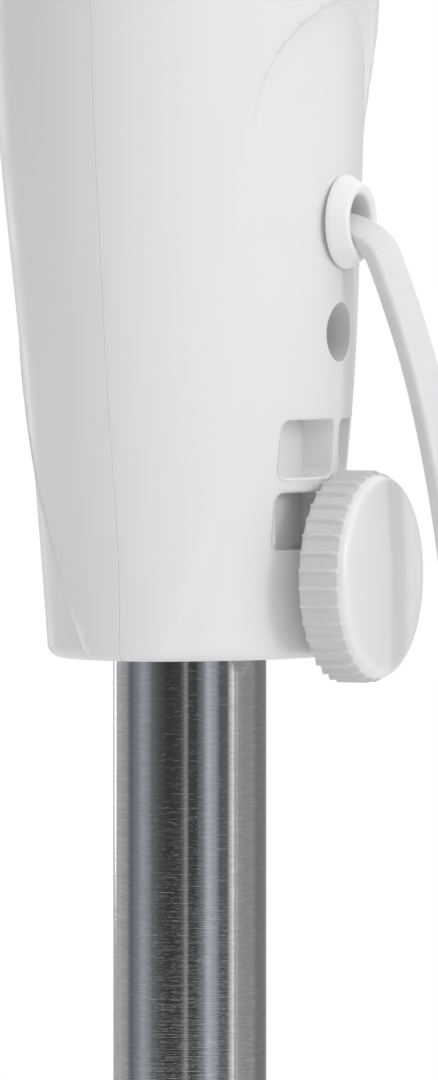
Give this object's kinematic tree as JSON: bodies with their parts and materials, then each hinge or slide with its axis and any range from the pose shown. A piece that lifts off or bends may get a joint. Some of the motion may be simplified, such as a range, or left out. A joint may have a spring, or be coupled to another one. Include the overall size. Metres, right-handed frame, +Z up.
{
  "type": "pedestal fan",
  "caption": "Pedestal fan: round base, telescopic chromed pole, clamped control housing with push buttons, swinging and tilting head with wire guards and blade.",
  "frame": {"origin": "on the floor, on the pole's axis, at the centre rubber pad's underside", "axes": "+Z up along the pole, -Y the way the fan blows, +Y the side with the clamp knob and mains cord"},
  "size_m": [0.435, 0.4796, 1.3515],
  "materials": {
    "white_plastic": "semi-gloss",
    "grip_plastic": "satin",
    "grey_plastic": "satin",
    "black_plastic": "satin",
    "cord_white": "satin",
    "rubber_black": "matte",
    "chrome": "polished",
    "steel": "brushed",
    "brass": "plain",
    "iron": "rough",
    "white_paint": "gloss",
    "guard_paint": "gloss",
    "aluminium": "cast",
    "copper": "enamelled",
    "blade_plastic": "translucent blue, semi-gloss",
    "lamp": "clear"
  },
  "bodies": {
    "base": {"base_cover": "white_plastic", "base_plate": "steel", "ballast": "iron", "rubber_feet": "rubber_black", "pole_socket": "white_plastic", "base_bolt": "steel", "lower_pole": "white_paint", "guide_bush": "white_plastic", "cord_floor": "cord_white", "cord_coil": "cord_white", "plug_body": "cord_white", "plug_pins": "steel"},
    "height_collar": {"height_collar": "grip_plastic"},
    "mast": {"upper_pole": "chrome", "rear_shell": "white_plastic", "front_shell": "white_plastic", "shell_screws": "steel", "clamp_nut": "steel", "cord_grommet": "cord_white", "cord_grip": "black_plastic", "button_bezel": "grey_plastic", "switch_block": "black_plastic", "pilot_lens": "lamp", "terminal_block": "white_plastic", "capacitor": "black_plastic", "wiring": "rubber_black", "neck_post": "steel", "cord_drop": "cord_white", "clamp_pad": "black_plastic"},
    "clamp_knob": {"clamp_knob": "grip_plastic", "clamp_stud": "steel"},
    "button_0": {"button_0": "white_plastic"},
    "button_1": {"button_1": "white_plastic"},
    "button_2": {"button_2": "white_plastic"},
    "button_3": {"button_3": "white_plastic"},
    "neck": {"neck": "white_plastic", "tilt_bolt": "steel"},
    "head": {"motor_bracket": "aluminium", "motor_cover": "white_plastic", "front_plate": "aluminium", "guard_spigot": "white_plastic", "stator_core": "iron", "stator_windings": "copper", "motor_bells": "aluminium", "motor_bearings": "steel", "gearbox_case": "black_plastic", "rear_guard_wires": "guard_paint", "front_guard_wires": "guard_paint", "rear_guard_rings": "guard_paint", "front_guard_rings": "guard_paint", "guard_band": "white_plastic", "guard_badge": "white_plastic", "guard_nut": "white_plastic"},
    "tilt_knob": {"tilt_knob": "grip_plastic"},
    "swing_knob": {"swing_knob": "grip_plastic"},
    "rotor": {"fan_blade": "blade_plastic", "spinner": "white_plastic", "motor_shaft": "steel", "rotor_core": "iron"},
    "worm_wheel": {"worm_wheel": "brass"}
  },
  "joints": [
    {"name": "collar_turn", "type": "hinge", "parent": "base", "child": "height_collar", "pos_m": [0, 0, 0.64], "axis": [0, 0, 1], "range_deg": [0, 90]},
    {"name": "height_slide", "type": "slide", "parent": "base", "child": "mast", "axis": [0, 0, 1], "range_m": [-0.12, 0.18], "deforming": ["cord_drop"]},
    {"name": "clamp_turn", "type": "hinge", "parent": "mast", "child": "clamp_knob", "pos_m": [0, 0.0268, 0.8134], "axis": [0, 1, 0], "range_deg": [0, 720]},
    {"name": "button_0_press", "type": "slide", "parent": "mast", "child": "button_0", "axis": [0, 1, 0], "range_m": [0, 0.003], "stiffness_N_per_m": 300},
    {"name": "button_1_press", "type": "slide", "parent": "mast", "child": "button_1", "axis": [0, 1, 0], "range_m": [0, 0.003], "stiffness_N_per_m": 300},
    {"name": "button_2_press", "type": "slide", "parent": "mast", "child": "button_2", "axis": [0, 1, 0], "range_m": [0, 0.003], "stiffness_N_per_m": 300},
    {"name": "button_3_press", "type": "slide", "parent": "mast", "child": "button_3", "axis": [0, 1, 0], "range_m": [0, 0.003], "stiffness_N_per_m": 300},
    {"name": "neck_swing", "type": "hinge", "parent": "mast", "child": "neck", "pos_m": [0, 0, 1], "axis": [0, 0, 1], "range_deg": [-40, 40]},
    {"name": "head_tilt", "type": "hinge", "parent": "neck", "child": "head", "pos_m": [0, 0, 1.05], "axis": [1, 0, 0], "range_deg": [-20, 5]},
    {"name": "tilt_knob_turn", "type": "hinge", "parent": "neck", "child": "tilt_knob", "pos_m": [0.0193, 0, 1.05], "axis": [1, 0, 0], "range_deg": [0, 360]},
    {"name": "swing_knob_pull", "type": "slide", "parent": "head", "child": "swing_knob", "axis": [0, 0, 1], "range_m": [0, 0.008]},
    {"name": "rotor_spin", "type": "hinge", "parent": "head", "child": "rotor", "pos_m": [0, 0, 1.134], "axis": [0, 1, 0], "continuous": true},
    {"name": "wheel_spin", "type": "hinge", "parent": "head", "child": "worm_wheel", "pos_m": [0.0097, 0.072, 1.134], "axis": [0, 0, 1], "continuous": true}
  ],
  "couplings": [
    {"joint": "wheel_spin", "follows": "rotor_spin", "ratio": 0.05}
  ]
}
